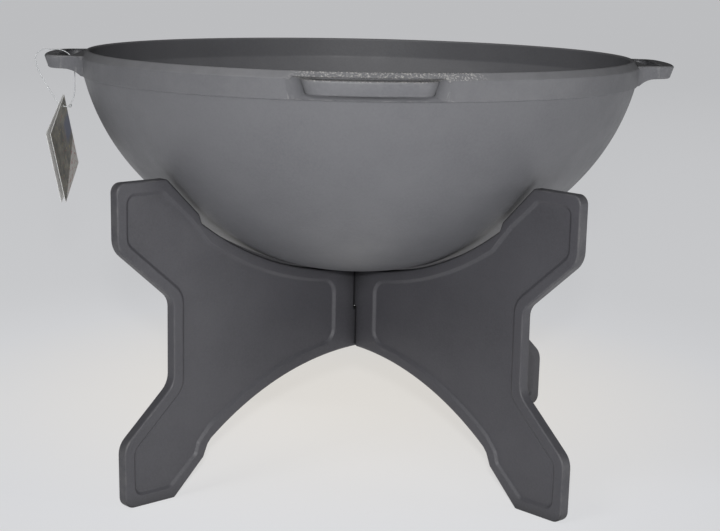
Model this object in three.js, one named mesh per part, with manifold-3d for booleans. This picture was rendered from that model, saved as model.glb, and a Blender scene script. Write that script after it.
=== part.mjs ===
// A cast-iron fire bowl on a knock-down stand of two crossed plates, with a card tag on a nylon loop.
// Millimetres, +Z up. The origin is on the floor under the middle of the bowl. The bowl's side lugs
// lie along X, and its front and back lugs along Y.
import * as THREE from "three";
import { mergeVertices } from "three/addons/utils/BufferGeometryUtils.js";
import Module from "manifold-3d";

const wasm = await Module();
wasm.setup();

const GAP = 0.3; // between two pieces that touch

// Bowl: a wide bottom arc runs into a tighter shoulder arc, under a collar with a sloping top edge.
const HEIGHT = 450; // floor to the mouth
const BOWL_BOTTOM = 213.3;
const BOTTOM_RADIUS = 327;
const BOTTOM_ARC_ANGLE = THREE.MathUtils.degToRad(48.7); // where the shoulder arc takes over
const SHOULDER_RADIUS = 235;
const WALL = 6;
const COLLAR_RADIUS = 300;
const COLLAR_TOP = 443;
const COLLAR_BOTTOM = 423.2;
const COLLAR_DRAFT = 1; // the collar is this much narrower at its lower edge
const COLLAR_EDGE = 1.5; // softening of the collar's edges
const CREST_RADIUS = 294; // outer edge of the flat crest round the mouth
const MOUTH_RADIUS = 290;
const MOUTH_EDGE = 2;
const BOWL_SEGMENTS = 96;
const ARC_STEPS = 7;
const SHOULDER_STEPS = 4;

// Lugs: flat loops near the top of the collar, with drafted sides and a coved root below.
const LUG_TOP = 445;
const LUG_REACH = 338.5; // bowl axis to the tip
const LUG_THICKNESS = 14;
const LUG_DRAFT = THREE.MathUtils.degToRad(19);
const LUG_HALF_WIDTH = 66;
const LUG_TIP_RADIUS = 250; // curve of the outer edge
const LUG_CORNER = 22;
const LUG_FLARE = 30; // fillet from the lug's side into the collar
const LUG_SHOULDER = 70; // half width at which the lug's flat top starts to ramp down
const LUG_ROOT = 288; // the lug's section starts inside the collar
const LUG_CLEAR = 296; // nothing of a lug is nearer to the bowl's axis
const LUG_EDGE = 2;
const SLOPE_STEP = 0.05; // the flares' top lies this far under the line of the collar's slope
const SLOT_INNER = 305;
const SLOT_OUTER = 323;
const SLOT_HALF_LENGTH = 55;
const COVE_RADIUS = 24; // hollow under the lug's root, down to the collar's lower edge
const COVE_END = 318; // where it meets the flat underside

// Stand plates: outline of one arm, as distance from the stand's axis and height.
const PLATE = 12.5; // thickness
const PLATE_EDGE = 1.2;
const STAND_TURN = THREE.MathUtils.degToRad(-4); // the bowl only rests on the stand, a little askew
const FOOT_INNER = 254;
const FOOT_OUTER = 314.5;
const FOOT_TOP = 65.4;
const FOOT_HEEL = [216.5, 36];
const FOOT_STEP = [211, 49];
const WAIST = 254.5;
const WAIST_BOTTOM = 121;
const WAIST_TOP = 209;
const PAD_OUTER = 322;
const PAD_BOTTOM = 266;
const PAD_TOP = 332.5;
const PAD_INNER = 262;
const CRADLE_STEP = [222, 293.5];
const CRADLE_END = 218.5;
const CRADLE_RADIUS = 372.7;
const CRADLE_BOTTOM = BOWL_BOTTOM - GAP;
const ARCH_RADIUS = 343;
const ARCH_TOP = 123.5;
const ARCH_END = 206.5;
const LAP_SLOT = 14.5; // width of the cross-lap slots, loose on the plate
const LAP_HEIGHT = 168; // the two slots meet here
const LAP_PLAY = 1.5; // each slot stops this far short of the other
const LAP_MOUTH = 6; // rounding at the lower plate's slot mouth

// Recessed panels, one on each face of each arm.
const PANEL_BORDER = 11;
const PANEL_WALL = 3.5;
const PANEL_DEPTH = 2.6;
const PANEL_START = 35; // from the stand's axis
const PANEL_CORNER = 14;

// Tag: a folded card that hangs by a corner, with its printed face turned to +X.
const LEAF_SHORT = 67;
const LEAF_LONG = 99;
const CARD = 0.5;
const LEAF_TURN = THREE.MathUtils.degToRad(6.8); // the card's plane, turned from the YZ plane
const LEAF_HANG = Math.atan2(LEAF_SHORT, LEAF_LONG); // its diagonal hangs plumb
const LEAF_SPREAD = THREE.MathUtils.degToRad(3.2); // how far the back leaf stands open
const TAG_TOP = [-322.36, 1.2, 398.83];
const TAG_HOLE_RADIUS = 2.8;
const TAG_HOLE_INSET = 9; // from both edges
const LOOP_THICKNESS = 1.1;
const LOOP_STEPS = 44;
const LOOP_PLANE = -1.1; // the loop's Y, through the tag's hole
const LOCK_LENGTH = 7;
const LOCK_RADIUS = 1.7;

const iron = (name, color) => new THREE.MeshStandardMaterial({ name, color, roughness: 0.62, metalness: 0.35 });
const bowlIron = iron("bowl_iron", 0x6a6b6f);
const plateIron = iron("plate_iron", 0x4c4c51);
const nylon = new THREE.MeshStandardMaterial({ name: "nylon", color: 0xe4e6e8, roughness: 0.3, metalness: 0 });
const print = new THREE.MeshStandardMaterial({ name: "print", color: 0x6d665c, roughness: 0.5, metalness: 0 });
const paper = new THREE.MeshStandardMaterial({ name: "paper", color: 0xf2f1ee, roughness: 0.8, metalness: 0 });

// A closed three.js geometry as a manifold-3d solid.
function solid(geometry) {
  const bare = geometry.clone();
  bare.deleteAttribute("normal");
  bare.deleteAttribute("uv");
  const merged = mergeVertices(bare, 1e-4);
  const triVerts = new Uint32Array(merged.index.array);
  const vertProperties = new Float32Array(merged.attributes.position.array);
  return new wasm.Manifold(new wasm.Mesh({ numProp: 3, vertProperties, triVerts }));
}

// A solid as a named three.js mesh.
function piece(name, body, material) {
  const { numProp, vertProperties, triVerts } = body.getMesh();
  const geometry = new THREE.BufferGeometry();
  geometry.setAttribute("position", new THREE.BufferAttribute(vertProperties, numProp));
  geometry.setIndex(new THREE.BufferAttribute(triVerts, 1));
  geometry.computeVertexNormals();
  const mesh = new THREE.Mesh(geometry, material);
  mesh.name = name;
  return mesh;
}

// A shape from corners [x, y, fillet radius]. A corner without a radius stays sharp.
function filleted(corners) {
  const shape = new THREE.Shape();
  corners.forEach(([x, y, radius = 0], index) => {
    const corner = new THREE.Vector2(x, y);
    const before = new THREE.Vector2(...corners.at(index - 1)).sub(corner);
    const after = new THREE.Vector2(...corners[(index + 1) % corners.length]).sub(corner);
    const half = Math.acos(before.clone().normalize().dot(after.clone().normalize())) / 2;
    const reach = radius / Math.tan(half);
    const start = corner.clone().add(before.setLength(reach || 1e-9));
    const end = corner.clone().add(after.setLength(reach || 1e-9));
    if (index === 0) shape.moveTo(start.x, start.y);
    else shape.lineTo(start.x, start.y);
    if (radius === 0) return;
    const middle = start.clone().add(end).multiplyScalar(0.5);
    const inward = middle.sub(corner).setLength(radius / Math.sin(half));
    const centre = corner.clone().add(inward);
    const from = Math.atan2(start.y - centre.y, start.x - centre.x);
    const to = Math.atan2(end.y - centre.y, end.x - centre.x);
    const turn = before.cross(after) > 0;
    shape.absarc(centre.x, centre.y, radius, from, to, turn);
  });
  shape.closePath();
  return shape;
}

// Points of an arc about (x, y), from one angle to another.
function arc(x, y, radius, from, to, steps = ARC_STEPS) {
  const at = (angle) => [x + radius * Math.cos(angle), y + radius * Math.sin(angle)];
  return Array.from({ length: steps + 1 }, (_, i) => at(from + ((to - from) * i) / steps));
}

// A solid through outlines of equal length, stacked upwards at [height, inset] levels.
function loft(levels, outline) {
  const rings = levels.map(([height, inset]) => outline(inset).map(([x, y]) => [x, y, height]));
  const count = rings[0].length;
  const flat = rings[0].map(([x, y]) => new THREE.Vector2(x, y));
  const lid = THREE.ShapeUtils.triangulateShape(flat, []);
  const top = count * (rings.length - 1);
  const faces = lid.flatMap(([a, b, c]) => [c, b, a, top + a, top + b, top + c]);
  for (let start = 0; start < top; start += count) {
    for (let i = 0; i < count; i += 1) {
      const next = start + ((i + 1) % count);
      faces.push(start + i, next, next + count, start + i, next + count, start + i + count);
    }
  }
  const geometry = new THREE.BufferGeometry();
  geometry.setAttribute("position", new THREE.Float32BufferAttribute(rings.flat(2), 3));
  geometry.setIndex(faces);
  return solid(geometry);
}

// The wall's section from its shoulder arc to the bowl's axis or back, set inwards by an inset.
function wallArcs(inset, rim) {
  const centre = BOWL_BOTTOM + BOTTOM_RADIUS;
  const offset = BOTTOM_RADIUS - SHOULDER_RADIUS;
  const x = offset * Math.sin(BOTTOM_ARC_ANGLE);
  const y = centre - offset * Math.cos(BOTTOM_ARC_ANGLE);
  const join = BOTTOM_ARC_ANGLE - Math.PI / 2;
  const top = Math.asin((rim - y) / (SHOULDER_RADIUS - inset));
  const bottom = arc(0, centre, BOTTOM_RADIUS - inset, -Math.PI / 2, join);
  bottom[0][0] = 0;
  return [...bottom, ...arc(x, y, SHOULDER_RADIUS - inset, join, top, SHOULDER_STEPS).slice(1)];
}

function bowlShell() {
  const lip = [
    [COLLAR_RADIUS - COLLAR_DRAFT - COLLAR_EDGE, COLLAR_BOTTOM],
    [COLLAR_RADIUS - COLLAR_DRAFT, COLLAR_BOTTOM + COLLAR_EDGE],
    [COLLAR_RADIUS, COLLAR_TOP - COLLAR_EDGE],
    [COLLAR_RADIUS - COLLAR_EDGE / 2, COLLAR_TOP],
    [CREST_RADIUS + COLLAR_EDGE / 2, HEIGHT - COLLAR_EDGE / 2],
    [CREST_RADIUS - COLLAR_EDGE / 2, HEIGHT],
    [MOUTH_RADIUS + MOUTH_EDGE / 2, HEIGHT],
    [MOUTH_RADIUS, HEIGHT - MOUTH_EDGE],
  ];
  const section = [...wallArcs(0, COLLAR_BOTTOM), ...lip, ...wallArcs(WALL, COLLAR_BOTTOM).reverse()];
  const points = section.map(([x, y]) => new THREE.Vector2(x, y));
  return solid(new THREE.LatheGeometry(points, BOWL_SEGMENTS).rotateX(Math.PI / 2));
}

// The lug's outline for the +X lug: flared root, straight sides and a curved outer edge.
// The +X lug's outline set in by a distance, with the flares that join its sides to the collar.
function lugOutline(inset) {
  const tipCentre = LUG_REACH - LUG_TIP_RADIUS;
  const tipAngle = Math.asin((LUG_HALF_WIDTH - LUG_CORNER) / LUG_TIP_RADIUS);
  const cornerX = tipCentre + (LUG_TIP_RADIUS - LUG_CORNER) * Math.cos(tipAngle);
  const cornerY = (LUG_TIP_RADIUS - LUG_CORNER) * Math.sin(tipAngle);
  const side = cornerY + LUG_CORNER - inset;
  const flareY = side + LUG_FLARE;
  const flareX = Math.sqrt((COLLAR_RADIUS - COLLAR_DRAFT + LUG_FLARE) ** 2 - flareY ** 2);
  const touch = Math.PI + Math.atan2(flareY, flareX);
  const flare = arc(flareX, flareY, LUG_FLARE, touch, 1.5 * Math.PI, 5);
  const half = [
    [LUG_ROOT - LUG_FLARE, flare[0][1]],
    ...flare,
    ...arc(cornerX, cornerY, LUG_CORNER - inset, Math.PI / 2, tipAngle, 4),
    ...arc(tipCentre, 0, LUG_TIP_RADIUS - inset, tipAngle, 0, 2).slice(1),
  ];
  return [...half.slice(0, -1).map(([x, y]) => [x, -y]), ...half.reverse()];
}

function lugSlot() {
  const radius = (SLOT_OUTER - SLOT_INNER) / 2;
  const middle = SLOT_INNER + radius;
  const end = SLOT_HALF_LENGTH - radius;
  const shape = new THREE.Shape();
  shape.absarc(middle, end, radius, 0, Math.PI, false);
  shape.absarc(middle, -end, radius, Math.PI, 2 * Math.PI, false);
  shape.closePath();
  const cut = new THREE.ExtrudeGeometry(shape, { depth: LUG_REACH, bevelEnabled: false, curveSegments: 5 });
  return solid(cut);
}

// Everything above the lugs' underside, flat at the tip and hollowed down to the collar's lower edge.
function aboveUnderside() {
  const under = LUG_TOP - LUG_THICKNESS;
  const low = COLLAR_BOTTOM + COLLAR_EDGE;
  const end = Math.PI - Math.asin((low - under + COVE_RADIUS) / COVE_RADIUS);
  const curve = arc(COVE_END, under - COVE_RADIUS, COVE_RADIUS, end, Math.PI / 2, 4);
  const beyond = LUG_REACH + LUG_FLARE;
  const section = [[LUG_ROOT, low], ...curve, [beyond, under], [beyond, HEIGHT], [LUG_ROOT, HEIGHT]];
  const points = [...section, section[0]].map(([x, y]) => new THREE.Vector2(x, y));
  return solid(new THREE.LatheGeometry(points, BOWL_SEGMENTS).rotateX(Math.PI / 2));
}

// Everything under the collar's top slope, continued outwards over the flares.
function belowSlope() {
  const fall = (HEIGHT - COLLAR_TOP) / (COLLAR_RADIUS - CREST_RADIUS);
  const top = COLLAR_TOP - SLOPE_STEP - (LUG_CLEAR - COLLAR_RADIUS) * fall;
  const bottom = COLLAR_BOTTOM - LUG_FLARE;
  const reach = LUG_CLEAR + (top - bottom) / fall;
  const points = [[LUG_ROOT, bottom], [reach, bottom], [LUG_CLEAR, top], [LUG_ROOT, top]];
  const section = [...points, points[0]].map(([x, y]) => new THREE.Vector2(x, y));
  return solid(new THREE.LatheGeometry(section, BOWL_SEGMENTS).rotateX(Math.PI / 2));
}

// The flares rise from that slope to the lug's top along a ramp on either side.
function belowRamps() {
  const bottom = COLLAR_BOTTOM - LUG_FLARE;
  const spread = LUG_SHOULDER + LUG_TOP - bottom;
  const section = [[-spread, bottom], [spread, bottom], [LUG_SHOULDER, LUG_TOP], [-LUG_SHOULDER, LUG_TOP]];
  const shape = new THREE.Shape(section.map(([y, z]) => new THREE.Vector2(y, z)));
  const prism = new THREE.ExtrudeGeometry(shape, { depth: LUG_REACH, bevelEnabled: false });
  return solid(prism.rotateX(Math.PI / 2).rotateZ(Math.PI / 2).translate(LUG_EDGE, 0, 0));
}

// The +X lug: its outline narrows downwards from just below the softened top edge.
function lug(clearOfBowl) {
  const bottom = COLLAR_BOTTOM - LUG_EDGE;
  const edge = LUG_TOP - LUG_EDGE;
  const inset = (edge - bottom) * Math.tan(LUG_DRAFT);
  const block = loft([[bottom, inset], [edge, 0], [LUG_TOP, LUG_EDGE]], lugOutline);
  const slot = lugSlot().translate([0, 0, COLLAR_BOTTOM - LUG_THICKNESS]);
  const body = block.intersect(belowSlope().add(belowRamps())).intersect(aboveUnderside());
  return body.subtract(slot).subtract(clearOfBowl);
}

function fireBowl() {
  const hollow = new THREE.CylinderGeometry(LUG_CLEAR, LUG_CLEAR, HEIGHT, BOWL_SEGMENTS);
  const clearOfBowl = solid(hollow.rotateX(Math.PI / 2).translate(0, 0, HEIGHT / 2));
  const oneLug = lug(clearOfBowl);
  let body = bowlShell();
  [0, 90, 180, 270].forEach((turn) => {
    body = body.add(oneLug.rotate([0, 0, turn]));
  });
  return piece("fire_bowl", body, bowlIron);
}

// Corners of one arm from the foot of the arch outwards and up to the end of the cradle.
const armCorners = () => [
  [...FOOT_STEP, 4],
  [...FOOT_HEEL, 6],
  [FOOT_INNER, 0, 2],
  [FOOT_OUTER, 0, 11],
  [FOOT_OUTER + 1, FOOT_TOP, 22],
  [WAIST, WAIST_BOTTOM, 23],
  [WAIST, WAIST_TOP, 18],
  [PAD_OUTER - 0.5, PAD_BOTTOM, 24],
  [PAD_OUTER, PAD_TOP, 10],
  [PAD_INNER, PAD_TOP, 4],
  [...CRADLE_STEP, 6],
];

// Points of the cradle and the arch, from one side of the stand's axis to the other.
function cradle(offset = 0, end = CRADLE_END) {
  const radius = CRADLE_RADIUS + offset;
  const half = Math.asin(end / radius);
  const middle = CRADLE_BOTTOM + CRADLE_RADIUS;
  return arc(0, middle, radius, half - Math.PI / 2, -half - Math.PI / 2, 16);
}

function arch(offset = 0, end = ARCH_END) {
  const radius = ARCH_RADIUS + offset;
  const half = Math.asin(end / radius);
  return arc(0, ARCH_TOP - ARCH_RADIUS, radius, half + Math.PI / 2, Math.PI / 2 - half, 14);
}

const mirrored = (corners) => corners.map(([x, ...rest]) => [-x, ...rest]).reverse();

function plateOutline() {
  const arm = armCorners();
  return filleted([...arch(), ...arm, ...cradle(), ...mirrored(arm)]);
}

// The recessed panel of the +X arm: the arm's outline set in by the border, and closed near the axis.
function panelOutline() {
  const inset = PANEL_BORDER + PANEL_WALL;
  const top = cradle(inset, CRADLE_END - 8).filter(([x]) => x > PANEL_START + PANEL_CORNER);
  const bottom = arch(inset, ARCH_END + 4).filter(([x]) => x > PANEL_START + PANEL_CORNER);
  const edge = PANEL_START + PANEL_WALL;
  const lowEnd = ARCH_TOP - ARCH_RADIUS + Math.sqrt((ARCH_RADIUS + inset) ** 2 - edge ** 2);
  const highEnd = CRADLE_BOTTOM + CRADLE_RADIUS - Math.sqrt((CRADLE_RADIUS + inset) ** 2 - edge ** 2);
  return filleted([
    [edge, lowEnd, PANEL_CORNER],
    ...bottom,
    [FOOT_STEP[0] + inset - 1, FOOT_STEP[1] + 5, 8],
    [FOOT_HEEL[0] + inset - 3, FOOT_HEEL[1] + 6, 8],
    [FOOT_INNER + inset * 0.42, inset, 5],
    [FOOT_OUTER - inset, inset, 7],
    [FOOT_OUTER + 1 - inset, FOOT_TOP - inset * 0.45, 14],
    [WAIST - inset, WAIST_BOTTOM - inset * 0.45, 26],
    [WAIST - inset, WAIST_TOP + inset * 0.45, 26],
    [PAD_OUTER - inset, PAD_BOTTOM + inset * 0.45, 14],
    [PAD_OUTER - inset, PAD_TOP - inset, 7],
    [PAD_INNER + inset * 0.4, PAD_TOP - inset, 5],
    [CRADLE_STEP[0] + inset - 3, CRADLE_STEP[1] - 6, 10],
    ...top,
    [edge, highEnd, PANEL_CORNER],
  ]);
}

// A cutter whose floor is the panel's outline and whose walls slope outwards to the plate's face.
function panelCutter() {
  const slope = { bevelSize: PANEL_WALL, bevelThickness: PANEL_DEPTH, bevelSegments: 1 };
  const cut = new THREE.ExtrudeGeometry(panelOutline(), { depth: PLATE, curveSegments: 2, ...slope });
  return solid(cut.translate(0, 0, PLATE / 2)).trimByPlane([0, 0, -1], -PLATE);
}

function plateBlank() {
  const edge = { bevelSize: PLATE_EDGE, bevelThickness: PLATE_EDGE, bevelOffset: -PLATE_EDGE, bevelSegments: 1 };
  const blank = new THREE.ExtrudeGeometry(plateOutline(), { depth: PLATE - 2 * PLATE_EDGE, curveSegments: 2, ...edge });
  let body = solid(blank.translate(0, 0, PLATE_EDGE - PLATE / 2));
  const cutter = panelCutter();
  [cutter, cutter.mirror([1, 0, 0]), cutter.mirror([0, 0, 1]), cutter.rotate([0, 180, 0])].forEach((cut) => {
    body = body.subtract(cut);
  });
  return body;
}

// A slot in the plate's middle, from a height down or up to the plate's edge.
function lapSlot(low, high, mouth) {
  const half = LAP_SLOT / 2;
  const flare = half + LAP_MOUTH;
  const shape = new THREE.Shape();
  shape.moveTo(-half, low);
  shape.lineTo(half, low);
  if (mouth) {
    shape.absarc(flare, CRADLE_BOTTOM - LAP_MOUTH, LAP_MOUTH, Math.PI, Math.PI / 2, true);
    shape.lineTo(flare, high);
    shape.lineTo(-flare, high);
    shape.absarc(-flare, CRADLE_BOTTOM - LAP_MOUTH, LAP_MOUTH, Math.PI / 2, 0, true);
  } else {
    shape.lineTo(half, high);
    shape.lineTo(-half, high);
  }
  shape.closePath();
  const cut = new THREE.ExtrudeGeometry(shape, { depth: 2 * PLATE, bevelEnabled: false, curveSegments: 4 });
  return solid(cut.translate(0, 0, -PLATE));
}

// A plate stands upright along a line through the stand's axis.
function standPlate(name, slot, direction) {
  const plate = piece(name, plateBlank().subtract(slot), plateIron);
  plate.geometry.rotateX(Math.PI / 2).rotateZ(direction + STAND_TURN);
  return plate;
}

const lowerPlate = () => {
  const slot = lapSlot(LAP_HEIGHT - LAP_PLAY, PAD_TOP, true);
  return standPlate("stand_lower_plate", slot, -(3 * Math.PI) / 4);
};

const upperPlate = () => {
  const slot = lapSlot(0, LAP_HEIGHT + LAP_PLAY, false);
  return standPlate("stand_upper_plate", slot, -Math.PI / 4);
};

// One leaf of the tag, hanging from its top corner, with the fold on its upper right edge.
function leafBody() {
  const card = new THREE.BoxGeometry(LEAF_SHORT, LEAF_LONG, CARD).translate(-LEAF_SHORT / 2, -LEAF_LONG / 2, 0);
  const hole = new THREE.CylinderGeometry(TAG_HOLE_RADIUS, TAG_HOLE_RADIUS, 4 * CARD, 16).rotateX(Math.PI / 2);
  return solid(card).subtract(solid(hole.translate(-TAG_HOLE_INSET, -TAG_HOLE_INSET, 0)));
}

// Puts a leaf's own frame (fold along Y, face to +Z) where the tag hangs.
function hang(mesh, spread, lift) {
  mesh.geometry.translate(0, 0, lift).rotateY(spread).rotateZ(LEAF_HANG);
  mesh.geometry.rotateX(Math.PI / 2).rotateZ(Math.PI / 2 - LEAF_TURN).translate(...TAG_TOP);
  return mesh;
}

const frontLeaf = () => hang(piece("tag_front_leaf", leafBody(), print), 0, CARD);
const backLeaf = () => hang(piece("tag_back_leaf", leafBody(), paper), -LEAF_SPREAD, -GAP - CARD / 2);

// The loop's path in the XZ plane, from the lock head round the lug's bar and back through the tag.
const LOOP_PATH = [
  [-314.5, 388],
  [-310.5, 398],
  [-309.5, 413],
  [-310.5, 430],
  [-314, 441],
  [-322, 446.5],
  [-334, 447.5],
  [-345.5, 446.5],
  [-351.5, 439],
  [-349.5, 427],
  [-342, 412],
  [-333, 397.5],
  [-327.5, 389.5],
  [-322.8, 386.3],
  [-316.5, 385.6],
];

function tagLoop() {
  const points = LOOP_PATH.map(([x, z]) => new THREE.Vector3(x, LOOP_PLANE, z));
  const path = new THREE.CatmullRomCurve3(points, false, "centripetal");
  const section = new THREE.Shape().absarc(0, 0, LOOP_THICKNESS / 2, 0, 2 * Math.PI, false);
  const strand = new THREE.ExtrudeGeometry(section, { steps: LOOP_STEPS, extrudePath: path, curveSegments: 4 });
  const head = new THREE.CapsuleGeometry(LOCK_RADIUS, LOCK_LENGTH - 2 * LOCK_RADIUS, 4, 10);
  head.rotateZ(Math.PI / 3).rotateX(Math.PI / 2).translate(-314.8, LOOP_PLANE, 386.6);
  return piece("tag_loop", solid(strand).add(solid(head)), nylon);
}

const forge = new THREE.Group();
forge.name = "fire_bowl_on_cross_stand";
forge.add(lowerPlate(), upperPlate(), fireBowl(), tagLoop(), backLeaf(), frontLeaf());

export default forge;
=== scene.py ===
"""The looks of the fire bowl: cast iron bowl, knock-down stand, card tag on a nylon loop.

Outlines are in millimetres, in the frame of the CAD part, and become metres when a mesh is made.
"""

import math

import bmesh
import bpy
import numpy as np
from mathutils import Matrix, Vector, geometry


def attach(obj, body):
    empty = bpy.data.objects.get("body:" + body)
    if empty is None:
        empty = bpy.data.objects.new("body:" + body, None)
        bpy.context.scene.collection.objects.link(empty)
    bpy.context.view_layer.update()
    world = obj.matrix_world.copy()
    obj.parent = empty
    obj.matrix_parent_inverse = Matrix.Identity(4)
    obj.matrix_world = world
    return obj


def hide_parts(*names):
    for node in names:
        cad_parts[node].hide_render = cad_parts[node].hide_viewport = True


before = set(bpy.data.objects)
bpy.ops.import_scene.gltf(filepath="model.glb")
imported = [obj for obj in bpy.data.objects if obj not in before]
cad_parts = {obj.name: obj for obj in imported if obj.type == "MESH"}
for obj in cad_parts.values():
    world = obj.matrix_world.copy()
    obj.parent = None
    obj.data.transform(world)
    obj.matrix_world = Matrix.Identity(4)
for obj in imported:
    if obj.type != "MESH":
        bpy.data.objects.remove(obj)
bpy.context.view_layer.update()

MM = 0.001
GAP = 0.3

# Bowl and its collar.
HEIGHT = 450.0
BOWL_BOTTOM = 213.3
BOTTOM_RADIUS = 327.0
BOTTOM_ANGLE = math.radians(48.7)
SHOULDER_RADIUS = 235.0
WALL = 6.0
COLLAR_RADIUS = 300.0
COLLAR_TOP = 443.0
COLLAR_BOTTOM = 423.2
COLLAR_DRAFT = 1.0
CREST_RADIUS = 294.0
MOUTH_RADIUS = 290.0
BOWL_SEGMENTS = 256

# Lugs.
LUG_TOP = 445.0
LUG_REACH = 338.5
LUG_THICKNESS = 14.0
LUG_DRAFT = math.tan(math.radians(19))
LUG_LOWER_EDGE = 3.0
LUG_HALF_WIDTH = 66.0
LUG_TIP_RADIUS = 250.0
LUG_CORNER = 22.0
LUG_FLARE = 30.0
LUG_SHOULDER = 70.0
LUG_ROOT = 288.0
LUG_CLEAR = 296.0
SLOPE_STEP = 0.05
LUG_EDGE = 2.0
SLOT_INNER = 305.0
SLOT_OUTER = 323.0
SLOT_HALF_LENGTH = 55.0
SLOT_EDGE = 1.4
COVE_RADIUS = 24.0
COVE_END = 318.0

# Stand plates: one arm as distance from the stand's axis and height.
PLATE = 12.5
PLATE_EDGE = 1.9
STAND_TURN = math.radians(-4)
FOOT_INNER = 254.0
FOOT_OUTER = 314.5
FOOT_TOP = 65.4
FOOT_HEEL = (216.5, 36.0)
FOOT_STEP = (211.0, 49.0)
WAIST = 254.5
WAIST_BOTTOM = 121.0
WAIST_TOP = 209.0
PAD_OUTER = 322.0
PAD_BOTTOM = 266.0
PAD_TOP = 332.5
PAD_INNER = 262.0
CRADLE_STEP = (222.0, 293.5)
CRADLE_END = 218.5
CRADLE_RADIUS = 372.7
CRADLE_BOTTOM = BOWL_BOTTOM - GAP
ARCH_RADIUS = 343.0
ARCH_TOP = 123.5
ARCH_END = 206.5
LAP_SLOT = 14.5
LAP_HEIGHT = 168.0
LAP_PLAY = 1.5
LAP_MOUTH = 6.0
PANEL_BORDER = 11.0
PANEL_WALL = 3.5
PANEL_START = 35.0
PANEL_CORNER = 14.0
# The panel's rounded wall as (inset from the floor's outline, depth) from the plate's face to the floor.
PANEL_STEPS = [
    (-4.5, 0), (-3.9, 0), (-3.35, 0.1), (-2.95, 0.42), (-0.75, 2.2), (-0.35, 2.48), (0.3, 2.6), (0.9, 2.6),
]  # fmt: skip

# Tag and its loop.
LEAF_SHORT = 67.0
LEAF_LONG = 99.0
CARD = 0.5
LEAF_TURN = math.radians(6.8)
LEAF_HANG = math.atan2(LEAF_SHORT, LEAF_LONG)
LEAF_SPREAD = math.radians(3.2)
TAG_TOP = (-322.36, 1.2, 398.83)
TAG_HOLE_RADIUS = 2.8
TAG_HOLE_INSET = 9.0
LOOP_THICKNESS = 1.1
LOOP_PLANE = -1.1
LOOP_SPAN_STEPS = 8
LOCK_LENGTH = 7.0
LOCK_RADIUS = 1.7
LOCK_PLACE = (-314.8, LOOP_PLANE, 386.6)
LOCK_TURN = math.radians(60)
# The loop's centre line (x, z), from the lock round the lug's bar and through the card's hole.
LOOP_PATH = [
    (-314.5, 388), (-310.5, 398), (-309.5, 413), (-310.5, 430), (-314, 441),
    (-322, 446.5), (-334, 447.5), (-345.5, 446.5), (-351.5, 439), (-349.5, 427),
    (-342, 412), (-333, 397.5), (-327.5, 389.5), (-322.8, 386.3), (-316.5, 385.6),
]  # fmt: skip

# Paint, painted top light, painted shade and bare metal.
BOWL_PAINT = (0.112, 0.113, 0.122)
BOWL_PAINT_LIGHT = (0.150, 0.151, 0.160)
BOWL_WORN = (0.34, 0.335, 0.33)
# painted top light: the bowl's up-facing faces are made lighter towards this colour
BOWL_PAINTED_TOP_LIGHT = (0.30, 0.30, 0.31)
PLATE_PAINT = (0.050, 0.049, 0.056)
PLATE_PAINT_LIGHT = (0.074, 0.073, 0.082)
PLATE_WORN = (0.24, 0.235, 0.22)
# painted top light: the plates' up-facing faces are made lighter towards this colour
PLATE_PAINTED_TOP_LIGHT = (0.10, 0.10, 0.11)
# near-black colour of the painted shade in hollows, creases and under the lugs
PAINTED_SHADE = (0.008, 0.008, 0.009)
BARE_METAL = (0.92, 0.90, 0.86)
GROUND_PLACE = (0.02, -0.315, 0.447)  # where the crest is ground bare, in metres
GROUND_REACH = 0.1

# Studio, in metres and watts.
FLOOR_RADIUS = 30.0
FLOOR_SIDES = 96
FLOOR_COLOUR = (0.30, 0.30, 0.305)
FLOOR_CLOUD = 1.015  # how much lighter its lightest patches are
GLOW = 0.12
GLOW_CENTRE = (0.0, 0.25, 0.0)
GLOW_REACH = 0.85
GLOW_EVERYWHERE = 0.55
GLOW_FAR = 0.51
GLOW_FAR_RANGE = (1.8, 6.0)
GLOW_COOL = (0.965, 0.975, 1.0)
GLOW_WARM = (1.0, 0.965, 0.91)
SKY_STRENGTH = 0.03
# Each square lamp's place, target, size and power.
LAMPS = {
    "key": ((-0.05, -1.76, 0.69), (0, 0, 0.25), 0.07, 19),
    "top": ((-1.3, -1.3, 2.0), (0, 0, 0.4), 0.8, 9),
    "right": ((2.6, -1.0, 0.1), (0, 0, 0.35), 0.8, 17),
}

# Camera.
CAMERA_DISTANCE = 1.7459
CAMERA_HEIGHT = 0.5552
CAMERA_TURN = math.radians(1.703)  # round the object
CAMERA_YAW = math.radians(0.149)
CAMERA_PITCH = math.radians(11.068)
CAMERA_ROLL = math.radians(1.170)
SENSOR = 36.0
LENS = 79.595


# ---------------------------------------------------------------- outlines

def arc(x, y, radius, start, end, steps):
    """Points of an arc about (x, y), both ends included."""
    angles = np.linspace(start, end, steps + 1)
    return [(x + radius * math.cos(a), y + radius * math.sin(a)) for a in angles]


def filleted(corners, step=math.radians(11)):
    """A closed outline from corners (x, y) or (x, y, fillet radius)."""
    points = []
    for index, corner in enumerate(corners):
        here = Vector(corner[:2])
        radius = corner[2] if len(corner) > 2 else 0
        before = (Vector(corners[index - 1][:2]) - here).normalized()
        after = (Vector(corners[(index + 1) % len(corners)][:2]) - here).normalized()
        if not radius:
            points.append(tuple(here))
            continue
        half = before.angle(after) / 2
        start = here + before * radius / math.tan(half)
        centre = here + (before + after).normalized() * radius / math.sin(half)
        turn = math.pi - 2 * half
        if before.x * after.y - before.y * after.x > 0:
            turn = -turn
        steps = max(2, math.ceil(abs(turn) / step))
        arm = start - centre
        for k in range(steps + 1):
            a = turn * k / steps
            c, s = math.cos(a), math.sin(a)
            points.append((centre.x + arm.x * c - arm.y * s, centre.y + arm.x * s + arm.y * c))
    return points


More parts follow.
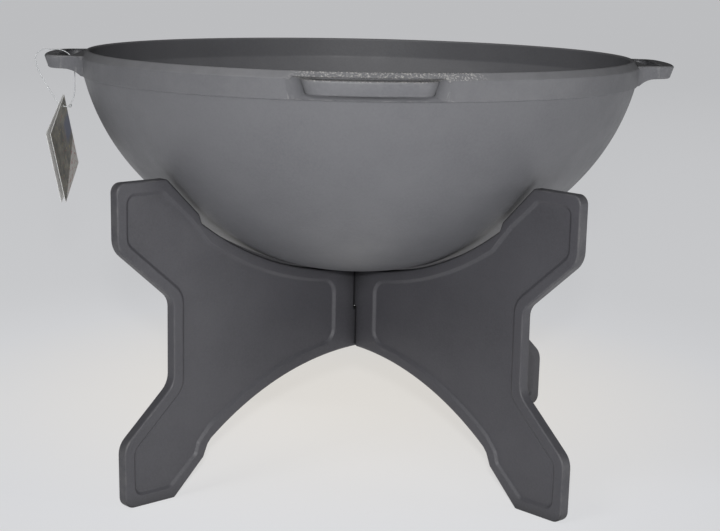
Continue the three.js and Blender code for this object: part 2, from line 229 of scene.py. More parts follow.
def inset(points, distance):
    """A counterclockwise outline moved inwards by a distance, or outwards by a negative one."""
    p = np.array(points)
    edge = np.roll(p, -1, 0) - p
    edge /= np.linalg.norm(edge, axis=1)[:, None]
    normal = np.stack([-edge[:, 1], edge[:, 0]], 1)
    before = np.roll(normal, 1, 0)
    share = 1 + np.einsum("ij,ij->i", before, normal)
    return p + distance * (before + normal) / share[:, None]


def counterclockwise(points):
    p = np.array(points)
    q = np.roll(p, -1, 0)
    area = np.sum(p[:, 0] * q[:, 1] - q[:, 0] * p[:, 1])
    return list(map(tuple, p if area > 0 else p[::-1]))


# ---------------------------------------------------------------- meshes

class Shell:
    """Points in millimetres and faces of one closed mesh."""

    def __init__(self):
        self.points, self.faces = [], []

    def ring(self, points):
        start = len(self.points)
        self.points.extend(tuple(p) for p in points)
        return list(range(start, len(self.points)))

    def strip(self, a, b):
        """Quads between two closed rings of equal length."""
        n = len(a)
        self.faces.extend((a[i], a[(i + 1) % n], b[(i + 1) % n], b[i]) for i in range(n))

    def cap(self, rings, flip=False):
        """A flat face inside the first ring, with the other rings as holes."""
        loops = [[Vector(self.points[i]) for i in ring] for ring in rings]
        index = [i for ring in rings for i in ring]
        for a, b, c in geometry.tessellate_polygon(loops):
            face = (index[a], index[b], index[c])
            self.faces.append(face[::-1] if flip else face)

    def object(self, name):
        mesh = bpy.data.meshes.new(name)
        mesh.from_pydata([[c * MM for c in p] for p in self.points], [], self.faces)
        return finished(name, mesh)


def finished(name, mesh):
    """An object for the mesh, with its faces turned outwards."""
    bm = bmesh.new()
    bm.from_mesh(mesh)
    bmesh.ops.remove_doubles(bm, verts=bm.verts, dist=1e-7)
    bmesh.ops.recalc_face_normals(bm, faces=bm.faces)
    bm.to_mesh(mesh)
    bm.free()
    obj = bpy.data.objects.new(name, mesh)
    bpy.context.scene.collection.objects.link(obj)
    return obj


def smooth(obj, sharp=math.radians(34)):
    """Smooth shading that keeps flat faces flat and creases sharp."""
    obj.data.shade_smooth()
    obj.data.set_sharp_from_angle(angle=sharp)
    weighted = obj.modifiers.new("normals", "WEIGHTED_NORMAL")
    weighted.keep_sharp = True
    weighted.weight = 90
    return obj


def rounding(edge, steps=4):
    """(inset, height below the flat face) pairs across a rounded edge, flat face last."""
    angles = np.linspace(0, math.pi / 2, steps + 1)
    return [(edge * (1 - math.cos(a)), edge * (1 - math.sin(a))) for a in angles]


def slab(shell, outline, low, high, edge, place):
    """A slab with rounded edges between two heights. place(points, height) puts an outline in space."""
    below = [(d, low + drop) for d, drop in reversed(rounding(edge))]
    above = [(d, high - drop) for d, drop in rounding(edge)]
    rings = [shell.ring(place(inset(outline, d), h)) for d, h in below + above]
    for a, b in zip(rings, rings[1:]):
        shell.strip(a, b)
    return rings[0], rings[-1]


def flat(points, height):
    return [(x, y, height) for x, y in points]


def lathe(shell, section, segments=BOWL_SEGMENTS):
    """Revolves a closed section (radius, height) about Z. Points on the axis become poles."""
    angles = np.arange(segments) * 2 * math.pi / segments
    rings = []
    for radius, height in section:
        if radius < 1e-9:
            rings.append(shell.ring([(0, 0, height)]) * segments)
        else:
            rings.append(shell.ring([(radius * math.cos(a), radius * math.sin(a), height) for a in angles]))
    for a, b in zip(rings, rings[1:] + rings[:1]):
        if a[0] == a[1] and b[0] == b[1]:
            continue
        for i in range(segments):
            j = (i + 1) % segments
            corners = dict.fromkeys((a[i], a[j], b[j], b[i]))
            shell.faces.append(tuple(corners))


def combine(target, tool, operation):
    """Boolean of two closed meshes. The tool is removed."""
    cut = target.modifiers.new(operation, "BOOLEAN")
    cut.operation = operation
    cut.object = tool
    cut.solver = "MANIFOLD"
    result = bpy.data.meshes.new_from_object(target.evaluated_get(bpy.context.evaluated_depsgraph_get()))
    target.modifiers.remove(cut)
    target.data = result
    bpy.data.objects.remove(tool)
    return target


# ---------------------------------------------------------------- bowl

def wall_arcs(depth, rim):
    """The wall's section from the bowl's axis up to the rim's height, set in by a depth."""
    centre = BOWL_BOTTOM + BOTTOM_RADIUS
    offset = BOTTOM_RADIUS - SHOULDER_RADIUS
    x, y = offset * math.sin(BOTTOM_ANGLE), centre - offset * math.cos(BOTTOM_ANGLE)
    join = BOTTOM_ANGLE - math.pi / 2
    top = math.asin((rim - y) / (SHOULDER_RADIUS - depth))
    bottom = arc(0, centre, BOTTOM_RADIUS - depth, -math.pi / 2, join, 30)
    bottom[0] = (0, bottom[0][1])
    return bottom + arc(x, y, SHOULDER_RADIUS - depth, join, top, 16)[1:]


def bowl_shell():
    outside = wall_arcs(0, COLLAR_BOTTOM)
    inside = wall_arcs(WALL, COLLAR_BOTTOM + 4)[::-1]
    rim = [
        (*outside[-1], 0.6),
        (COLLAR_RADIUS - COLLAR_DRAFT, COLLAR_BOTTOM, 1.0),
        (COLLAR_RADIUS, COLLAR_TOP, 1.8),
        (CREST_RADIUS, HEIGHT, 1.8),
        (MOUTH_RADIUS, HEIGHT, 1.9),
        (*inside[0], 8),
    ]
    shell = Shell()
    lathe(shell, filleted([*outside[:-1], *rim, *inside[1:]], math.radians(24)))
    return shell.object("bowl")


def lug_outline(distance):
    """The +X lug's outline set in by a distance, with the flares that join it to the collar."""
    tip = LUG_REACH - LUG_TIP_RADIUS
    tip_angle = math.asin((LUG_HALF_WIDTH - LUG_CORNER) / LUG_TIP_RADIUS)
    corner_x = tip + (LUG_TIP_RADIUS - LUG_CORNER) * math.cos(tip_angle)
    corner_y = (LUG_TIP_RADIUS - LUG_CORNER) * math.sin(tip_angle)
    side = corner_y + LUG_CORNER - distance
    flare_y = side + LUG_FLARE
    flare_x = math.sqrt((COLLAR_RADIUS - COLLAR_DRAFT + LUG_FLARE) ** 2 - flare_y**2)
    touch = math.pi + math.atan2(flare_y, flare_x)
    flare = arc(flare_x, flare_y, LUG_FLARE, touch, 1.5 * math.pi, 20)
    half = [
        (LUG_ROOT - LUG_FLARE, flare[0][1]),
        *flare,
        *arc(corner_x, corner_y, LUG_CORNER - distance, math.pi / 2, tip_angle, 12),
        *arc(tip, 0, LUG_TIP_RADIUS - distance, tip_angle, 0, 8)[1:],
    ]
    return [(x, -y) for x, y in half[:-1]] + half[::-1]


def slot_cutter():
    """A finger slot's cutter, wider at both ends so that the slot's edges come out rounded."""
    radius = (SLOT_OUTER - SLOT_INNER) / 2
    middle, end = SLOT_INNER + radius, SLOT_HALF_LENGTH - radius
    outline = arc(middle, end, radius, 0, math.pi, 20) + arc(middle, -end, radius, math.pi, 2 * math.pi, 20)
    low, high = LUG_TOP - LUG_THICKNESS, LUG_TOP
    trumpet = [(d - SLOT_EDGE, drop) for d, drop in rounding(SLOT_EDGE)]
    trumpet = [(-SLOT_EDGE - d, SLOT_EDGE - drop) for d, drop in trumpet]
    steps = [(-SLOT_EDGE, low - 20), *((d, low + up) for d, up in trumpet)]
    steps += [*((d, high - up) for d, up in reversed(trumpet)), (-SLOT_EDGE, high + 20)]
    shell = Shell()
    rings = [shell.ring(flat(inset(outline, d), h)) for d, h in steps]
    for a, b in zip(rings, rings[1:]):
        shell.strip(a, b)
    shell.cap([rings[0]], flip=True)
    shell.cap([rings[-1]])
    return shell.object("slot")


def stack(levels, name):
    """A solid through outlines at (outline, height) levels from the top down."""
    shell = Shell()
    rings = [shell.ring(flat(outline, h)) for outline, h in levels]
    for a, b in zip(rings, rings[1:]):
        shell.strip(a, b)
    shell.cap([rings[0]])
    shell.cap([rings[-1]], flip=True)
    return shell.object(name)


def turned(section, name):
    """A solid of revolution."""
    shell = Shell()
    lathe(shell, section)
    return shell.object(name)


def above_underside(reach):
    """Everything above the hollow that runs from the lugs' underside down to the collar's lower edge."""
    under = LUG_TOP - LUG_THICKNESS
    low = COLLAR_BOTTOM + 1
    end = math.pi - math.asin((low - under + COVE_RADIUS) / COVE_RADIUS)
    curve = arc(COVE_END, under - COVE_RADIUS, COVE_RADIUS, end, math.pi / 2, 14)
    return turned([(LUG_ROOT, low), *curve, (reach, under), (reach, HEIGHT), (LUG_ROOT, HEIGHT)], "above")


def below_tops():
    """Everything under the collar's top slope, continued outwards, and under the ramps to the lug's top."""
    fall = (HEIGHT - COLLAR_TOP) / (COLLAR_RADIUS - CREST_RADIUS)
    top = COLLAR_TOP - SLOPE_STEP - (LUG_CLEAR - COLLAR_RADIUS) * fall
    bottom = COLLAR_BOTTOM - LUG_FLARE
    reach = LUG_CLEAR + (top - bottom) / fall
    slope = turned([(LUG_ROOT, bottom), (reach, bottom), (LUG_CLEAR, top), (LUG_ROOT, top)], "slope")
    levels = []
    for drop in (0.0, LUG_TOP - bottom):
        half = LUG_SHOULDER + drop
        plan = [(LUG_EDGE, -half), (LUG_REACH + 2, -half), (LUG_REACH + 2, half), (LUG_EDGE, half)]
        levels.append((plan, LUG_TOP - drop))
    return combine(slope, stack(levels, "ramps"), "UNION")


def lug():
    """A loop whose sides narrow downwards, flared into the collar."""
    under = LUG_TOP - LUG_THICKNESS
    edge = LUG_TOP - LUG_EDGE
    corner = under + LUG_LOWER_EDGE
    top = [(lug_outline(d), LUG_TOP - drop) for d, drop in reversed(rounding(LUG_EDGE))]
    side = (edge - corner) * LUG_DRAFT
    lower = [(lug_outline(side + d), under + drop) for d, drop in rounding(LUG_LOWER_EDGE)]
    body = stack(top + lower, "lug")
    deep = (lug_outline((edge - COLLAR_BOTTOM) * LUG_DRAFT), COLLAR_BOTTOM)
    root = combine(stack([*top, deep], "root"), above_underside(COVE_END + 1), "INTERSECT")
    combine(body, root, "UNION")
    combine(body, below_tops(), "INTERSECT")
    combine(body, slot_cutter(), "DIFFERENCE")
    above = HEIGHT + 10
    section = [(0, BOWL_BOTTOM), (LUG_CLEAR, BOWL_BOTTOM), (LUG_CLEAR, above), (0, above)]
    return combine(body, turned(section, "hollow"), "DIFFERENCE")


def bowl():
    body = bowl_shell()
    one = lug()
    for quarter in range(4):
        copy = bpy.data.objects.new("lug_copy", one.data.copy())
        bpy.context.scene.collection.objects.link(copy)
        copy.data.transform(Matrix.Rotation(quarter * math.pi / 2, 4, "Z"))
        combine(body, copy, "UNION")
    bpy.data.objects.remove(one)
    return smooth(body)


# ---------------------------------------------------------------- stand plates

def arm_corners():
    return [
        (*FOOT_STEP, 5),
        (*FOOT_HEEL, 6),
        (FOOT_INNER, 0, 3.5),
        (FOOT_OUTER, 0, 11),
        (FOOT_OUTER + 1, FOOT_TOP, 22),
        (WAIST, WAIST_BOTTOM, 23),
        (WAIST, WAIST_TOP, 18),
        (PAD_OUTER - 0.5, PAD_BOTTOM, 24),
        (PAD_OUTER, PAD_TOP, 10),
        (PAD_INNER, PAD_TOP, 4.5),
        (*CRADLE_STEP, 6),
    ]


def cradle(offset=0.0, end=CRADLE_END, start=0.0):
    """Cradle points from one arm's end of it to the other's, without those nearer the axis than start."""
    radius = CRADLE_RADIUS + offset
    half = math.asin(end / radius)
    points = arc(0, CRADLE_BOTTOM + CRADLE_RADIUS, radius, half - math.pi / 2, -half - math.pi / 2, 48)
    return [p for p in points if abs(p[0]) >= start]


def arch(offset=0.0, end=ARCH_END, start=0.0):
    radius = ARCH_RADIUS + offset
    half = math.asin(end / radius)
    points = arc(0, ARCH_TOP - ARCH_RADIUS, radius, half + math.pi / 2, math.pi / 2 - half, 44)
    return [p for p in points if abs(p[0]) >= start]


def mirrored(corners):
    return [(-x, *rest) for x, *rest in reversed(corners)]


def plate_outline(slot_from_above):
    arm = arm_corners()
    half = LAP_SLOT / 2
    if slot_from_above:
        floor = LAP_HEIGHT - LAP_PLAY
        top = CRADLE_BOTTOM + 0.25
        lap = [(half, top, LAP_MOUTH), (half, floor, 2.2), (-half, floor, 2.2), (-half, top, LAP_MOUTH)]
        near = half + LAP_MOUTH + 2
        upper = [p for p in cradle(start=near)]
        upper = [p for p in upper if p[0] > 0] + lap + [p for p in upper if p[0] < 0]
        lower = arch()
    else:
        roof = LAP_HEIGHT + LAP_PLAY
        mouth = ARCH_TOP - 0.1
        lap = [(-half, mouth, 2.2), (-half, roof, 2.2), (half, roof, 2.2), (half, mouth, 2.2)]
        lower = arch(start=half + 5)
        lower = [p for p in lower if p[0] < 0] + lap + [p for p in lower if p[0] > 0]
        upper = cradle()
    return counterclockwise(filleted([*lower, *arm, *upper, *mirrored(arm)]))


def panel_outline():
    """The floor of the +X arm's recessed panel."""
    margin = PANEL_BORDER + PANEL_WALL
    near = PANEL_START + PANEL_CORNER
    top = [p for p in cradle(margin, CRADLE_END - 8) if p[0] > near]
    bottom = [p for p in arch(margin, ARCH_END + 4) if p[0] > near]
    edge = PANEL_START + PANEL_WALL
    low = ARCH_TOP - ARCH_RADIUS + math.sqrt((ARCH_RADIUS + margin) ** 2 - edge**2)
    high = CRADLE_BOTTOM + CRADLE_RADIUS - math.sqrt((CRADLE_RADIUS + margin) ** 2 - edge**2)
    slant = 0.45 * margin
    return counterclockwise(
        filleted(
            [
                (edge, low, PANEL_CORNER),
                *bottom,
                (FOOT_STEP[0] + margin - 1, FOOT_STEP[1] + 5, 8),
                (FOOT_HEEL[0] + margin - 3, FOOT_HEEL[1] + 6, 8),
                (FOOT_INNER + 0.42 * margin, margin, 5),
                (FOOT_OUTER - margin, margin, 7),
                (FOOT_OUTER + 1 - margin, FOOT_TOP - slant, 14),
                (WAIST - margin, WAIST_BOTTOM - slant, 26),
                (WAIST - margin, WAIST_TOP + slant, 26),
                (PAD_OUTER - margin, PAD_BOTTOM + slant, 14),
                (PAD_OUTER - margin, PAD_TOP - margin, 7),
                (PAD_INNER + 0.4 * margin, PAD_TOP - margin, 5),
                (CRADLE_STEP[0] + margin - 3, CRADLE_STEP[1] - 6, 10),
                *top,
                (edge, high, PANEL_CORNER),
            ]
        )
    )


def stand_plate(name, slot_from_above, direction):
    """A plate upright on a line through the stand's axis, with a rounded rim and two panels a side."""
    along = Vector((math.cos(direction), math.sin(direction), 0))
    across = Vector((-along.y, along.x, 0))

    def place(points, y):
        return [tuple(along * x + across * y + Vector((0, 0, z))) for x, z in points]

    shell = Shell()
    outline = plate_outline(slot_from_above)
    ends = slab(shell, outline, -PLATE / 2, PLATE / 2, PLATE_EDGE, place)
    right = panel_outline()
    left = counterclockwise([(-x, z) for x, z in right])
    for side, rim in zip((-1, 1), ends):
        support = shell.ring(place(inset(outline, PLATE_EDGE + 0.6), side * PLATE / 2))
        shell.strip(rim, support)
        rims = []
        for panel in (right, left):
            rings = [shell.ring(place(inset(panel, d), side * (PLATE / 2 - h))) for d, h in PANEL_STEPS]
            for a, b in zip(rings, rings[1:]):
                shell.strip(a, b)
            shell.cap([rings[-1]])
            rims.append(rings[0])
        shell.cap([support, *rims])
    return smooth(shell.object(name))


# ---------------------------------------------------------------- tag

def leaf(name, spread, lift):
    """One flat leaf of the folded card, hanging by its hole."""
    cells_x, cells_y = 38, 46
    shell = Shell()
    tops, bottoms = {}, {}
    for i in range(cells_x + 1):
        for j in range(cells_y + 1):
            x, y = -LEAF_SHORT * i / cells_x, -LEAF_LONG * j / cells_y
            tops[i, j] = shell.ring([(x, y, CARD / 2)])[0]
            bottoms[i, j] = shell.ring([(x, y, -CARD / 2)])[0]
    for i in range(cells_x):
        for j in range(cells_y):
            cell = [(i, j), (i, j + 1), (i + 1, j + 1), (i + 1, j)]
            shell.faces.append(tuple(tops[c] for c in cell))
            shell.faces.append(tuple(bottoms[c] for c in reversed(cell)))
    border = [(i, 0) for i in range(cells_x)] + [(cells_x, j) for j in range(cells_y)]
    border += [(i, cells_y) for i in range(cells_x, 0, -1)] + [(0, j) for j in range(cells_y, 0, -1)]
    for a, b in zip(border, border[1:] + border[:1]):
        shell.faces.append((tops[a], tops[b], bottoms[b], bottoms[a]))
    body = shell.object(name)
    rim = arc(-TAG_HOLE_INSET, -TAG_HOLE_INSET, TAG_HOLE_RADIUS, 0, 2 * math.pi, 24)[:-1]
    combine(body, stack([(rim, 6), (rim, -6)], "punch"), "DIFFERENCE")
    uv = body.data.uv_layers.new(name="UVMap")
    for corner, use in zip(uv.data, body.data.loops):
        spot = body.data.vertices[use.vertex_index].co / MM
        corner.uv = (1 + spot.x / LEAF_SHORT, 1 + spot.y / LEAF_LONG)
    turn = Matrix.Rotation(math.pi / 2 - LEAF_TURN, 4, "Z") @ Matrix.Rotation(math.pi / 2, 4, "X")
    turn = turn @ Matrix.Rotation(LEAF_HANG, 4, "Z") @ Matrix.Rotation(spread, 4, "Y")
    lift_up = Matrix.Translation((0, 0, lift * MM))
    body.data.transform(Matrix.Translation(Vector(TAG_TOP) * MM) @ turn @ lift_up)
    return smooth(body)


def through(points, steps):
    """Points along a centripetal Catmull-Rom curve through the given ones."""
    points = [Vector(p) for p in points]
    ends = [2 * points[0] - points[1], *points, 2 * points[-1] - points[-2]]
    curve = []
    for a, b, c, d in zip(ends, ends[1:], ends[2:], ends[3:]):
        ab, bc, cd = (math.sqrt((q - p).length) for p, q in ((a, b), (b, c), (c, d)))
        leave = bc * ((b - a) / ab - (c - a) / (ab + bc) + (c - b) / bc)
        arrive = bc * ((c - b) / bc - (d - b) / (bc + cd) + (d - c) / cd)
        for t in np.arange(steps) / steps:
            start = (2 * t**3 - 3 * t**2 + 1) * b + (t**3 - 2 * t**2 + t) * leave
            curve.append(start + (3 * t**2 - 2 * t**3) * c + (t**3 - t**2) * arrive)
    return [*curve, points[-1]]


def tag_loop():
    """The nylon strand along its route, with its lock head."""
    route = through(LOOP_PATH, LOOP_SPAN_STEPS)
    curve = bpy.data.curves.new("tag_loop", "CURVE")
    curve.dimensions = "3D"
    curve.bevel_depth = LOOP_THICKNESS / 2 * MM
    curve.bevel_resolution = 3
    curve.use_fill_caps = True
    spline = curve.splines.new("POLY")
    spline.points.add(len(route) - 1)
    for point, (x, z) in zip(spline.points, route):
        point.co = (x * MM, LOOP_PLANE * MM, z * MM, 1)
    strand = bpy.data.objects.new("strand", curve)
    bpy.context.scene.collection.objects.link(strand)
    mesh = bpy.data.meshes.new_from_object(strand.evaluated_get(bpy.context.evaluated_depsgraph_get()))
    bpy.data.objects.remove(strand)
    loop = finished("tag_loop", mesh)
    head = Shell()
    half = LOCK_LENGTH / 2 - LOCK_RADIUS
    section = arc(0, half, LOCK_RADIUS, math.pi / 2, 0, 6) + arc(0, -half, LOCK_RADIUS, 0, -math.pi / 2, 6)
    lathe(head, section, 24)
    lock = head.object("lock")
    lock.data.transform(
        Matrix.Translation(Vector(LOCK_PLACE) * MM)
        @ Matrix.Rotation(math.pi / 2, 4, "X")
        @ Matrix.Rotation(LOCK_TURN, 4, "Z")
    )
    combine(loop, lock, "UNION")
    return smooth(loop, math.radians(50))


# ---------------------------------------------------------------- materials

class Nodes:
    """Short calls for building one material's node tree."""

    def __init__(self, name):
        self.material = bpy.data.materials.new(name)
        self.material.use_nodes = True
        self.tree = self.material.node_tree
        self.shader = self.tree.nodes["Principled BSDF"]
        self.place = self.new("ShaderNodeTexCoord").outputs["Object"]

    def new(self, kind, **settings):
        node = self.tree.nodes.new(kind)
        for key, value in settings.items():
            setattr(node, key, value)
        return node

    def link(self, source, target):
        self.tree.links.new(source, target)

    def noise(self, scale, detail=3.0, rough=0.5, place=None):
        """Fractal noise with about this many features in a metre, or across the given place's unit."""
        node = self.new("ShaderNodeTexNoise", noise_type="FBM")
        node.inputs["Scale"].default_value = scale
        node.inputs["Detail"].default_value = detail
        node.inputs["Roughness"].default_value = rough
        self.link(place or self.place, node.inputs["Vector"])
        return node.outputs["Fac"]

    def span(self, value, low, high, to_low=0.0, to_high=1.0, kind="LINEAR"):
        """A value's place between low and high, carried over to another range and held inside it."""
        node = self.new("ShaderNodeMapRange", interpolation_type=kind)
        for name, number in {"From Min": low, "From Max": high, "To Min": to_low, "To Max": to_high}.items():
            node.inputs[name].default_value = number
        self.link(value, node.inputs["Value"])
        return node.outputs["Result"]

    def math(self, operation, a, b):
        node = self.new("ShaderNodeMath", operation=operation)
        for socket, value in zip(node.inputs, (a, b)):
            if isinstance(value, (int, float)):
                socket.default_value = value
            else:
                self.link(value, socket)
        return node.outputs[0]

    def mix(self, factor, a, b):
        node = self.new("ShaderNodeMix", data_type="RGBA")
        for socket, value in zip((node.inputs[0], node.inputs[6], node.inputs[7]), (factor, a, b)):
            if isinstance(value, (int, float)):
                socket.default_value = value
            elif isinstance(value, tuple):
                socket.default_value = (*value, 1)
            else:
                self.link(value, socket)
        return node.outputs[2]

    def part(self, vector, axis):
        node = self.new("ShaderNodeSeparateXYZ")
        self.link(vector, node.inputs[0])
        return node.outputs[axis]

    def blend(self, factor, a, b):
        """One number's way from a to b."""
        node = self.new("ShaderNodeMix", data_type="FLOAT")
        for socket, value in zip((node.inputs[0], node.inputs[2], node.inputs[3]), (factor, a, b)):
            if isinstance(value, (int, float)):
                socket.default_value = value
            else:
                self.link(value, socket)
        return node.outputs[0]

    def bump(self, height, strength, distance, normal=None):
        node = self.new("ShaderNodeBump")
        node.inputs["Strength"].default_value = strength
        node.inputs["Distance"].default_value = distance
        self.link(height, node.inputs["Height"])
        if normal:
            self.link(normal, node.inputs["Normal"])
        return node.outputs["Normal"]

    def rest(self, value):
        """One less the value."""
        return self.math("SUBTRACT", 1.0, value)

    def set(self, **values):
        for key, value in values.items():
            self.shader.inputs[key.replace("_", " ")].default_value = value


def cast_iron(name, base, light, worn, top_lit_colour):
    """Painted sand-cast iron: grain, mottling, painted light on top faces broken up by noise, rubbed edges,
    painted shade in the hollows.
    """
    m = Nodes(name)
    mottle = m.span(m.noise(9, 4, 0.6), 0.35, 0.68)
    fine = m.span(m.noise(420, 3, 0.6), 0.3, 0.7)
    colour = m.mix(m.math("MULTIPLY", mottle, 0.5), base, light)
    colour = m.mix(m.math("MULTIPLY", fine, 0.45), colour, light)
    shape = m.new("ShaderNodeNewGeometry")
    # Painted top light: faces are lighter the more they face up, broken up by noise.
    upward = m.span(m.part(shape.outputs["Normal"], "Z"), 0.0, 0.7)
    painted_top_light = m.math("MULTIPLY", upward, m.span(m.noise(38, 4, 0.6), 0.25, 0.75, 0.55, 1.0))
    colour = m.mix(m.math("MULTIPLY", painted_top_light, 0.5), colour, top_lit_colour)
    rub = m.span(shape.outputs["Pointiness"], 0.515, 0.56)
    rub = m.math("MULTIPLY", rub, m.span(m.noise(60, 5, 0.7), 0.42, 0.62))
    colour = m.mix(m.math("MULTIPLY", rub, 0.35), colour, worn)
    # Painted shade: ambient occlusion darkens hollows, creases and the cove under each lug towards near
    # black.
    hollow = m.new("ShaderNodeAmbientOcclusion", samples=6)
    hollow.inputs["Distance"].default_value = 0.032
    painted_shade = m.span(hollow.outputs["AO"], 0.72, 0.36)
    colour = m.mix(m.math("MULTIPLY", painted_shade, 0.9), colour, PAINTED_SHADE)
    m.link(colour, m.shader.inputs["Base Color"])
    m.link(m.span(m.noise(26, 4, 0.6), 0.3, 0.7, 0.42, 0.56), m.shader.inputs["Roughness"])
    soft = m.new("ShaderNodeBevel", samples=4)
    soft.inputs["Radius"].default_value = 0.0012
    grain = m.bump(m.noise(900, 2, 0.55), 0.45, 0.0003, soft.outputs["Normal"])
    pits = m.bump(m.noise(240, 4, 0.7), 0.35, 0.0005, grain)
    m.link(m.bump(m.noise(34, 3, 0.5), 0.2, 0.0012, pits), m.shader.inputs["Normal"])
    m.set(Metallic=0.0, IOR=1.5)
    return m


def ground_crest(m, place, reach):
    """Bright ground metal in flecks along the collar's crest over one lug."""
    near = m.new("ShaderNodeVectorMath", operation="DISTANCE")
    m.link(m.place, near.inputs[0])
    near.inputs[1].default_value = place
    shape = m.new("ShaderNodeNewGeometry")
    top = m.span(m.part(shape.outputs["Normal"], "Z"), 0.45, 0.8)
    zone = m.math("MULTIPLY", m.span(near.outputs["Value"], reach, reach * 0.8), top)
    flecks = m.span(m.noise(520, 4, 0.75), 0.54, 0.58)
    mask = m.math("MULTIPLY", zone, flecks)
    old = m.shader.inputs["Base Color"].links[0].from_socket
    m.link(m.mix(mask, old, BARE_METAL), m.shader.inputs["Base Color"])
    old = m.shader.inputs["Roughness"].links[0].from_socket
    m.link(m.blend(mask, old, 0.3), m.shader.inputs["Roughness"])
    m.link(m.math("MULTIPLY", mask, 0.6), m.shader.inputs["Metallic"])


def nylon():
    m = Nodes("nylon")
    cloud = m.span(m.noise(300, 3), 0.3, 0.7)
    m.link(m.mix(cloud, (0.72, 0.74, 0.76), (0.84, 0.85, 0.86)), m.shader.inputs["Base Color"])
    m.link(m.bump(m.noise(700, 2), 0.1, 0.0002), m.shader.inputs["Normal"])
    m.set(Roughness=0.3, Transmission_Weight=0.35, IOR=1.5)
    return m.material


def paper():
    m = Nodes("paper")
    fibre = m.span(m.noise(600, 5, 0.7), 0.3, 0.7)
    m.link(m.mix(fibre, (0.78, 0.78, 0.77), (0.86, 0.86, 0.85)), m.shader.inputs["Base Color"])
    m.link(m.bump(m.noise(900, 3), 0.15, 0.0002), m.shader.inputs["Normal"])
    m.set(Roughness=0.7)
    return m.material


def leaf_print():
    """A generic abstract print: a dark mottled field, a blue corner and a pale panel, on coated card."""
    m = Nodes("leaf_print")
    uv = m.new("ShaderNodeUVMap").outputs["UV"]
    across, up = m.part(uv, "X"), m.part(uv, "Y")
    field = m.mix(m.span(m.noise(5, 5, 0.7, uv), 0.35, 0.65), (0.035, 0.032, 0.024), (0.26, 0.24, 0.18))
    yellow = m.span(m.noise(16, 3, 0.6, uv), 0.62, 0.66)
    colour = m.mix(m.math("MULTIPLY", yellow, 0.8), field, (0.42, 0.34, 0.10))
    red = m.span(m.noise(11, 3, 0.6, uv), 0.64, 0.67)
    colour = m.mix(m.math("MULTIPLY", red, 0.8), colour, (0.36, 0.05, 0.04))
    blue = m.math("MULTIPLY", m.span(across, 0.62, 0.74), m.span(up, 0.44, 0.52))
    blue = m.math("MULTIPLY", blue, m.span(up, 0.80, 0.72))
    colour = m.mix(blue, colour, (0.045, 0.06, 0.13))
    slant = m.math("ADD", up, m.math("MULTIPLY", across, -0.42))
    panel = m.span(slant, -0.01, -0.03)
    marks = m.span(m.noise(22, 2, 0.5, uv), 0.58, 0.61)
    pale = m.mix(m.math("MULTIPLY", marks, 0.7), (0.66, 0.64, 0.60), (0.40, 0.10, 0.08))
    colour = m.mix(panel, colour, pale)
    edge = m.math("MINIMUM", m.math("MINIMUM", across, up), m.math("MINIMUM", m.rest(across), m.rest(up)))
    colour = m.mix(m.span(edge, 0.012, 0.006), colour, (0.80, 0.80, 0.78))
    m.link(colour, m.shader.inputs["Base Color"])
    m.link(m.bump(m.noise(900, 3), 0.1, 0.0001), m.shader.inputs["Normal"])
    m.set(Roughness=0.35)
    return m.material


def dress(obj, material, body, node):
    """Gives a piece its material, hides the CAD node it stands for, and hangs it on the body it rides on."""
    obj.data.materials.clear()
    obj.data.materials.append(material)
    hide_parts(node)
    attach(obj, body)
    return obj


bowl_iron = cast_iron("bowl_iron", BOWL_PAINT, BOWL_PAINT_LIGHT, BOWL_WORN, BOWL_PAINTED_TOP_LIGHT)
ground_crest(bowl_iron, GROUND_PLACE, GROUND_REACH)
plate_iron = cast_iron("plate_iron", PLATE_PAINT, PLATE_PAINT_LIGHT, PLATE_WORN, PLATE_PAINTED_TOP_LIGHT)

dress(bowl(), bowl_iron.material, "bowl", "fire_bowl").name = "bowl_casting"
lower = stand_plate("lower_plate_casting", True, -0.75 * math.pi + STAND_TURN)
dress(lower, plate_iron.material, "lower_plate", "stand_lower_plate")
upper = stand_plate("upper_plate_casting", False, -0.25 * math.pi + STAND_TURN)
dress(upper, plate_iron.material, "upper_plate", "stand_upper_plate")
dress(leaf("tag_front", 0, CARD), leaf_print(), "front_leaf", "tag_front_leaf")
back = leaf("tag_back", -LEAF_SPREAD, -GAP - CARD / 2)
dress(back, paper(), "back_leaf", "tag_back_leaf")
dress(tag_loop(), nylon(), "loop", "tag_loop").name = "tag_strand"


# ---------------------------------------------------------------- floor, light, camera

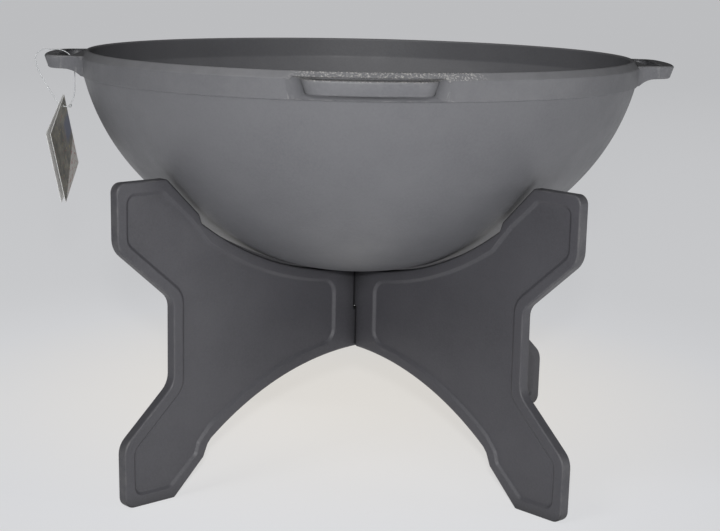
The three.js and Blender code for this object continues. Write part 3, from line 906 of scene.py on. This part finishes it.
def floor():
    """A wide flat floor of pale paper, lit through from below under the stand."""
    mesh = bpy.data.meshes.new("floor")
    rim = arc(0, 0, FLOOR_RADIUS, 0, 2 * math.pi, FLOOR_SIDES)[:-1]
    mesh.from_pydata([(x, y, 0.0) for x, y in rim], [], [range(FLOOR_SIDES)])
    sheet = bpy.data.objects.new("floor", mesh)
    bpy.context.scene.collection.objects.link(sheet)
    m = Nodes("floor")
    cloud = m.span(m.noise(0.8, 2), 0.3, 0.7)
    lighter = tuple(c * FLOOR_CLOUD for c in FLOOR_COLOUR)
    m.link(m.mix(cloud, FLOOR_COLOUR, lighter), m.shader.inputs["Base Color"])
    away = m.new("ShaderNodeVectorMath", operation="DISTANCE")
    m.link(m.place, away.inputs[0])
    away.inputs[1].default_value = GLOW_CENTRE
    near = m.span(away.outputs["Value"], GLOW_REACH, 0.0, 0.0, GLOW, "SMOOTHSTEP")
    far = m.span(away.outputs["Value"], *GLOW_FAR_RANGE, GLOW_EVERYWHERE, GLOW_FAR, "SMOOTHSTEP")
    m.link(m.math("ADD", near, far), m.shader.inputs["Emission Strength"])
    warm = m.mix(m.span(near, GLOW * 0.3, GLOW), GLOW_COOL, GLOW_WARM)
    m.link(warm, m.shader.inputs["Emission Color"])
    m.set(Roughness=0.6)
    mesh.materials.append(m.material)


def lamp(name, where, target, size, watts):
    """A square lamp facing its target, which the camera doesn't see."""
    data = bpy.data.lights.new(name, "AREA")
    data.shape = "SQUARE"
    data.size = size
    data.energy = watts
    obj = bpy.data.objects.new(name, data)
    bpy.context.scene.collection.objects.link(obj)
    obj.location = where
    obj.rotation_mode = "QUATERNION"
    obj.rotation_quaternion = (Vector(target) - Vector(where)).to_track_quat("-Z", "Y")
    obj.visible_camera = False


def sky(strength):
    world = bpy.data.worlds.new("studio")
    bpy.context.scene.world = world
    world.use_nodes = True
    world.node_tree.nodes["Background"].inputs[0].default_value = (1, 1, 1, 1)
    world.node_tree.nodes["Background"].inputs[1].default_value = strength


def camera():
    data = bpy.data.cameras.new("camera")
    data.sensor_fit = "HORIZONTAL"
    data.sensor_width = SENSOR
    data.lens = LENS
    data.clip_end = 100
    obj = bpy.data.objects.new("camera", data)
    bpy.context.scene.collection.objects.link(obj)
    heading = CAMERA_YAW + CAMERA_TURN
    level = Vector((math.sin(heading), math.cos(heading), 0))
    forward = level * math.cos(CAMERA_PITCH) - Vector((0, 0, math.sin(CAMERA_PITCH)))
    right = Vector((math.cos(heading), -math.sin(heading), 0))
    up = right.cross(forward)
    cos, sin = math.cos(CAMERA_ROLL), math.sin(CAMERA_ROLL)
    axes = Matrix((right * cos + up * sin, up * cos - right * sin, -forward)).transposed()
    away = -CAMERA_DISTANCE
    place = Vector((away * math.sin(CAMERA_TURN), away * math.cos(CAMERA_TURN), CAMERA_HEIGHT))
    obj.matrix_world = Matrix.Translation(place) @ axes.to_4x4()
    bpy.context.scene.camera = obj


floor()
sky(SKY_STRENGTH)
for name, (place, target, size, watts) in LAMPS.items():
    lamp(name, place, target, size, watts)
camera()
bpy.context.scene.view_settings.view_transform = "Standard"
